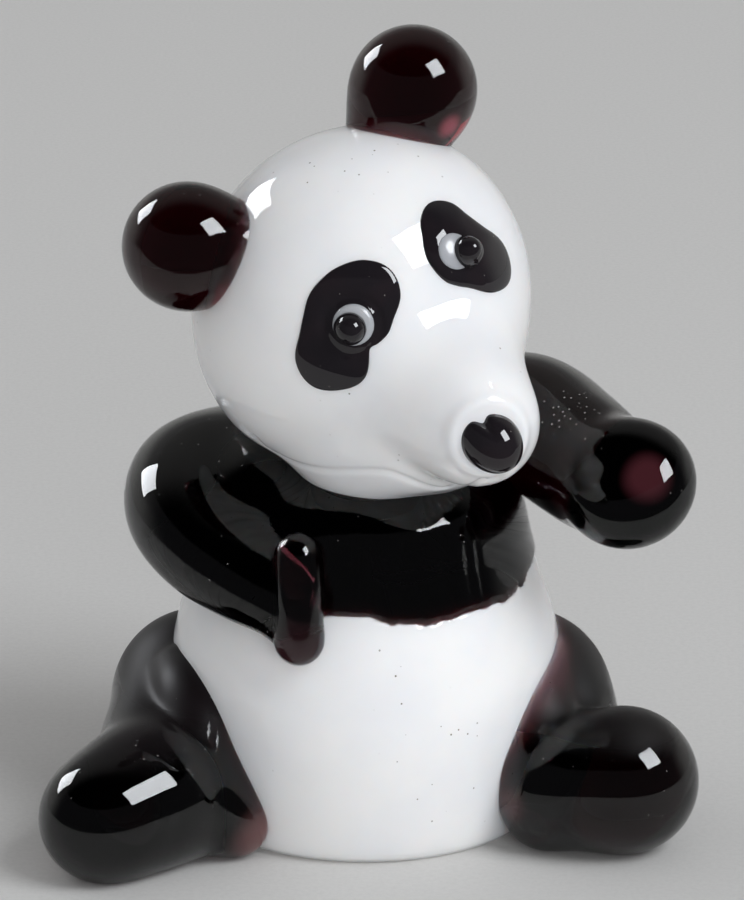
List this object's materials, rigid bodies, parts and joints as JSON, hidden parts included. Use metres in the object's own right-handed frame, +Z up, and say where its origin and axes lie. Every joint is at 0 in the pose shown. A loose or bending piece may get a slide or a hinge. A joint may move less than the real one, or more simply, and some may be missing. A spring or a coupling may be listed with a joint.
{
  "type": "panda figurine",
  "caption": "Sitting panda figurine of solid hot-worked glass, white body and head with dark purple limbs, stands by its own weight.",
  "frame": {"origin": "middle of the body's flat underside, on the surface that the figure sits on", "axes": "+Z up, -Y out of the figure's front, +X toward its left arm"},
  "size_m": [0.0655, 0.0463, 0.0803],
  "materials": {
    "white_glass": "opaque white opal glass, fire polished",
    "dark_glass": "very dark purple glass, fire polished, red where thin"
  },
  "bodies": {
    "root": {"body": "white_glass", "head": "white_glass", "left_eye_white": "white_glass", "right_eye_white": "white_glass", "collar": "dark_glass", "left_ear": "dark_glass", "right_ear": "dark_glass", "left_arm": "dark_glass", "right_arm": "dark_glass", "left_leg": "dark_glass", "right_leg": "dark_glass", "left_eye_patch": "dark_glass", "right_eye_patch": "dark_glass", "left_pupil": "dark_glass", "right_pupil": "dark_glass", "nose": "dark_glass"}
  },
  "joints": []
}
